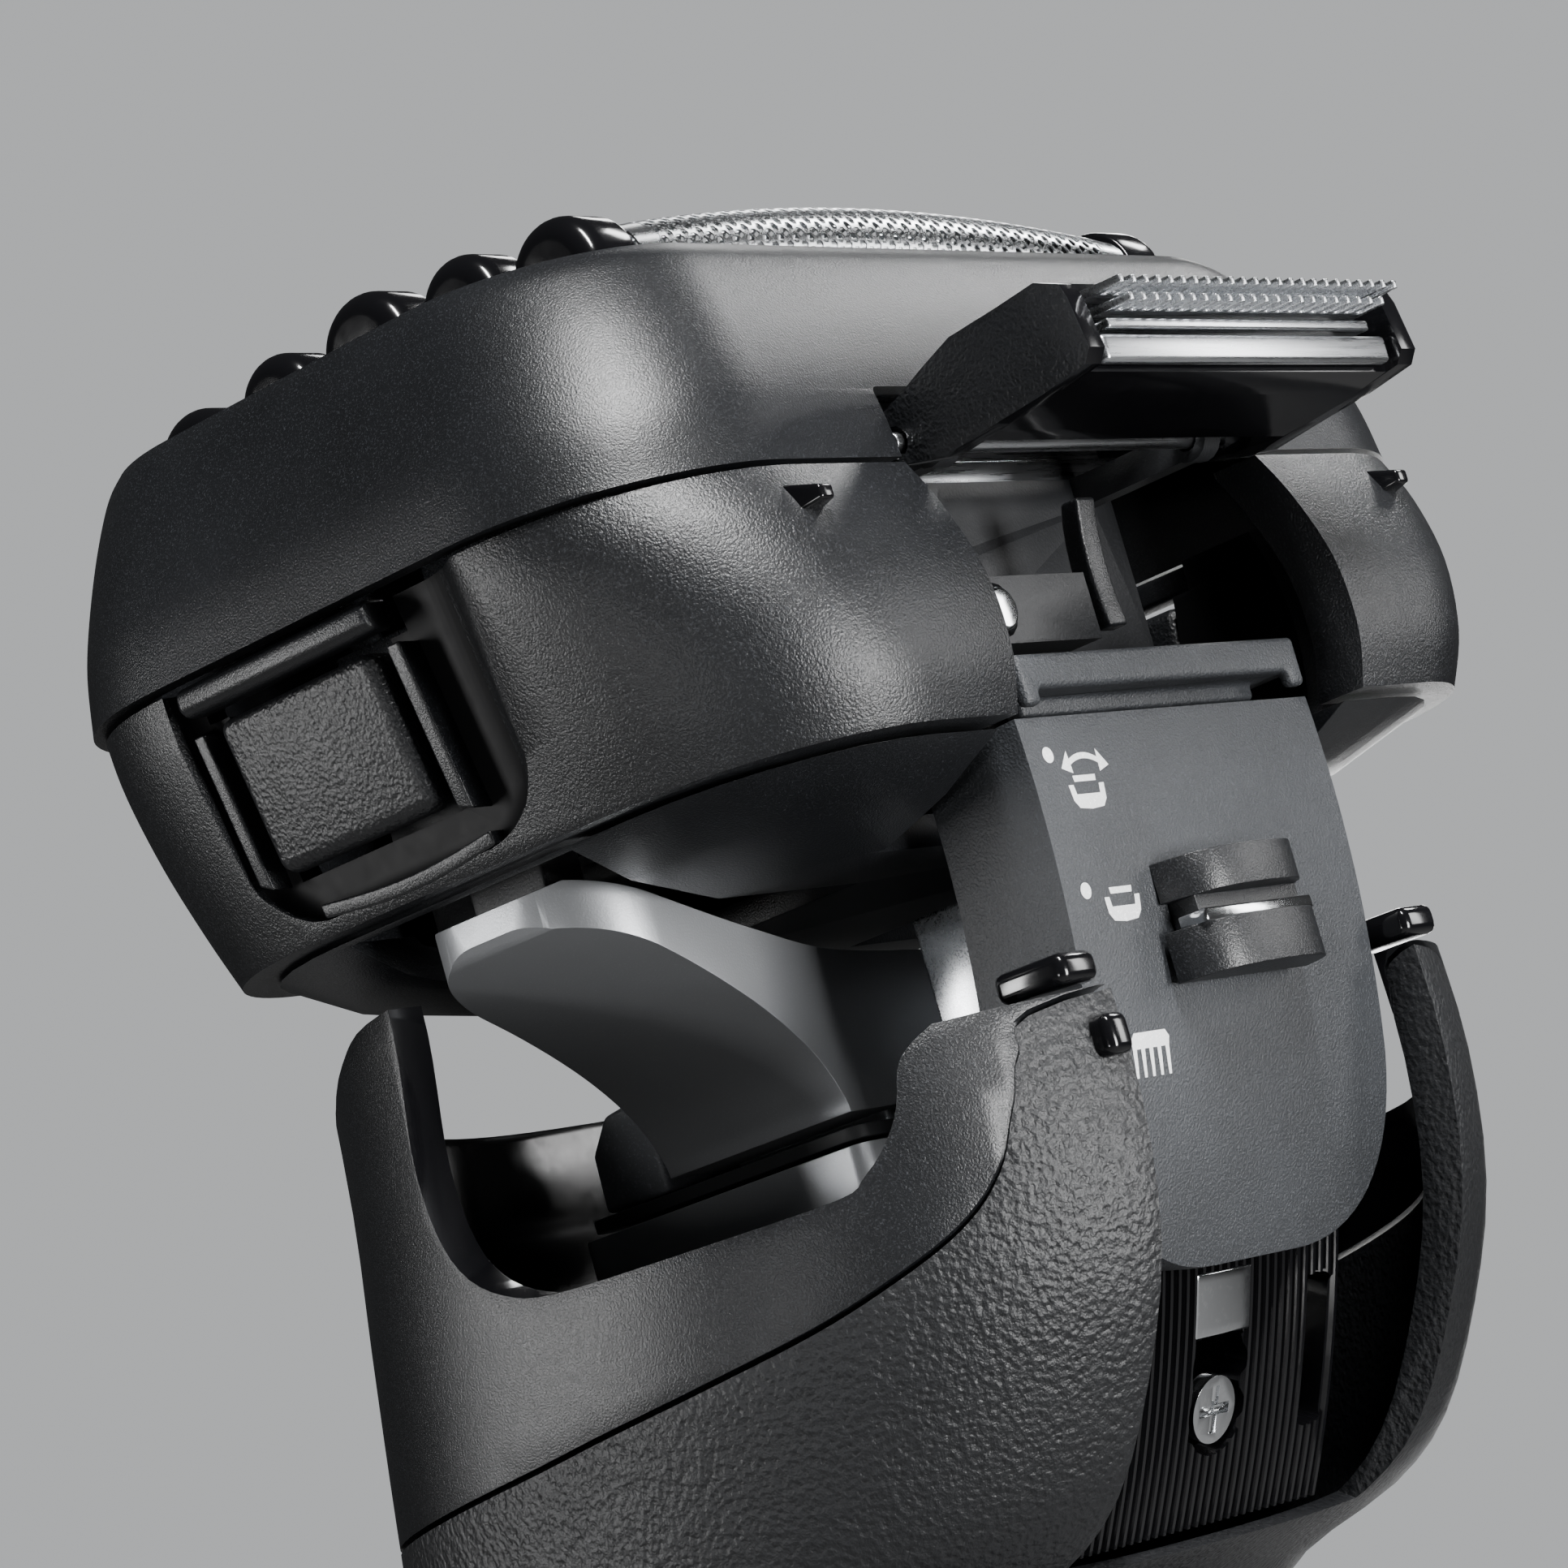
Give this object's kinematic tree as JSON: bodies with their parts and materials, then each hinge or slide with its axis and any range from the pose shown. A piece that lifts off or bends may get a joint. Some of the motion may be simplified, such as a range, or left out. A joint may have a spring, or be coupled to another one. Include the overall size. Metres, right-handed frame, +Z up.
{
  "type": "electric shaver",
  "caption": "Upright electric shaver with a wide multi-foil head on a tilting yoke, pop-up trimmer, sliding selector and grained grip.",
  "frame": {"origin": "middle of the flat base of the handle", "axes": "+Z up along the handle to the foils, +Y to the back where the slider and trimmer are, +X to the left seen from the back"},
  "size_m": [0.0718, 0.0687, 0.1686],
  "materials": {
    "satin_black": "fine satin spark texture",
    "grip_elastomer": "coarse moulded grain",
    "spark_black": "coarse spark-eroded texture",
    "gloss_black": "polished",
    "lens_black": "polished",
    "satin_silver": "fine metallic satin",
    "steel": "brushed",
    "slate": "fine matte grain",
    "grey": "matte",
    "board_green": "satin",
    "cell_wrap": "shrink film"
  },
  "bodies": {
    "handle": {"top_shell": "satin_black", "grip_shell": "grip_elastomer", "front_panel": "gloss_black", "display_window": "lens_black", "base_cap": "satin_black", "charging_contact_left": "steel", "charging_contact_right": "steel", "guide_panel": "gloss_black", "panel_screw": "steel", "guide_block": "steel", "rim_tab_left": "gloss_black", "rim_tab_right": "gloss_black", "neck_tray": "gloss_black", "swing_pin": "steel", "neck_collar": "satin_silver", "collar_seal": "slate", "neck_block": "grey", "battery": "cell_wrap", "circuit_board": "board_green"},
    "power_button": {"power_button": "steel"},
    "slider": {"slider_plate": "slate", "slider_bar": "slate", "slider_knob": "satin_black"},
    "neck": {"yoke": "satin_silver"},
    "head": {"bearing_block_left": "slate", "bearing_block_right": "slate", "tilt_pin_left": "steel", "tilt_pin_right": "steel", "head_housing": "satin_black", "underside_cover": "satin_black", "linear_motor": "grey", "trimmer_bracket": "slate", "bracket_screw": "steel", "trimmer_axle": "steel"},
    "release_left": {"release_button_left": "spark_black"},
    "release_right": {"release_button_right": "spark_black"},
    "links": {"lift_link_left": "satin_black", "lift_link_right": "satin_black"},
    "trimmer": {"trimmer_carrier": "spark_black", "trimmer_comb": "steel", "trimmer_bar_upper": "steel", "trimmer_bar_lower": "steel"},
    "trimmer_blade": {"trimmer_cutter": "steel"},
    "outer_blades": {"outer_cutters": "steel"},
    "inner_blades": {"inner_cutters": "steel"},
    "foil_cover": {"head_frame": "satin_black", "latch_bar_left": "satin_black", "latch_bar_right": "satin_black"},
    "rear_row": {"rear_foil": "steel", "rear_foil_frame": "gloss_black"},
    "rear_comb_row": {"rear_comb_foil": "steel", "rear_comb_foil_frame": "gloss_black"},
    "centre_row": {"centre_foil": "steel", "centre_foil_frame": "gloss_black"},
    "front_comb_row": {"front_comb_foil": "steel", "front_comb_foil_frame": "gloss_black"},
    "front_row": {"front_foil": "steel", "front_foil_frame": "gloss_black"}
  },
  "joints": [
    {"name": "power_press", "type": "slide", "parent": "handle", "child": "power_button", "axis": [0, 1, 0], "range_m": [0, 0.0006], "stiffness_N_per_m": 900, "springref_m": -0.0006},
    {"name": "slider_travel", "type": "hinge", "parent": "handle", "child": "slider", "pos_m": [0, -0.036, 0.132], "axis": [-1, 0, 0], "range_deg": [0, 11.8]},
    {"name": "neck_swing", "type": "hinge", "parent": "handle", "child": "neck", "pos_m": [0, 0.0105, 0.1128], "axis": [0, 1, 0], "range_deg": [-2, 2], "stiffness_Nm_per_rad": 2},
    {"name": "head_tilt", "type": "hinge", "parent": "neck", "child": "head", "pos_m": [0, 0.0105, 0.1379], "axis": [1, 0, 0], "range_deg": [-3, 4.5], "stiffness_Nm_per_rad": 2},
    {"name": "release_left_press", "type": "slide", "parent": "head", "child": "release_left", "axis": [-1, 0, 0], "range_m": [0, 0.001], "stiffness_N_per_m": 900, "springref_m": -0.0006},
    {"name": "release_right_press", "type": "slide", "parent": "head", "child": "release_right", "axis": [1, 0, 0], "range_m": [0, 0.001], "stiffness_N_per_m": 900, "springref_m": -0.0006},
    {"name": "link_drop", "type": "slide", "parent": "head", "child": "links", "axis": [0, 0, -1], "range_m": [0, 0.008]},
    {"name": "trimmer_flip", "type": "hinge", "parent": "head", "child": "trimmer", "pos_m": [0, 0.0328, 0.1506], "axis": [-1, 0, 0], "range_deg": [0, 84]},
    {"name": "trimmer_stroke", "type": "slide", "parent": "trimmer", "child": "trimmer_blade", "axis": [1, 0, 0], "range_m": [-0.0008, 0.0008]},
    {"name": "blade_stroke", "type": "slide", "parent": "head", "child": "outer_blades", "axis": [1, 0, 0], "range_m": [-0.0008, 0.0008], "stiffness_N_per_m": 400},
    {"name": "inner_blade_stroke", "type": "slide", "parent": "head", "child": "inner_blades", "axis": [1, 0, 0], "range_m": [-0.0008, 0.0008]},
    {"name": "foil_cover_lift", "type": "slide", "parent": "head", "child": "foil_cover", "axis": [0, 0, 1], "range_m": [0, 0.012]},
    {"name": "rear_float", "type": "slide", "parent": "foil_cover", "child": "rear_row", "axis": [0, 0, -1], "range_m": [0, 0.0008], "stiffness_N_per_m": 500, "springref_m": -0.0006},
    {"name": "rear_comb_float", "type": "slide", "parent": "foil_cover", "child": "rear_comb_row", "axis": [0, 0, -1], "range_m": [0, 0.0008], "stiffness_N_per_m": 500, "springref_m": -0.0006},
    {"name": "centre_float", "type": "slide", "parent": "foil_cover", "child": "centre_row", "axis": [0, 0, -1], "range_m": [0, 0.0008], "stiffness_N_per_m": 500, "springref_m": -0.0006},
    {"name": "front_comb_float", "type": "slide", "parent": "foil_cover", "child": "front_comb_row", "axis": [0, 0, -1], "range_m": [0, 0.0008], "stiffness_N_per_m": 500, "springref_m": -0.0006},
    {"name": "front_float", "type": "slide", "parent": "foil_cover", "child": "front_row", "axis": [0, 0, -1], "range_m": [0, 0.0008], "stiffness_N_per_m": 500, "springref_m": -0.0006}
  ],
  "couplings": [
    {"joint": "trimmer_flip", "follows": "slider_travel", "ratio": 7.1},
    {"joint": "link_drop", "follows": "slider_travel", "m_per_rad": 0.03642},
    {"joint": "inner_blade_stroke", "follows": "blade_stroke", "ratio": -1},
    {"joint": "trimmer_stroke", "follows": "blade_stroke", "ratio": 1}
  ]
}
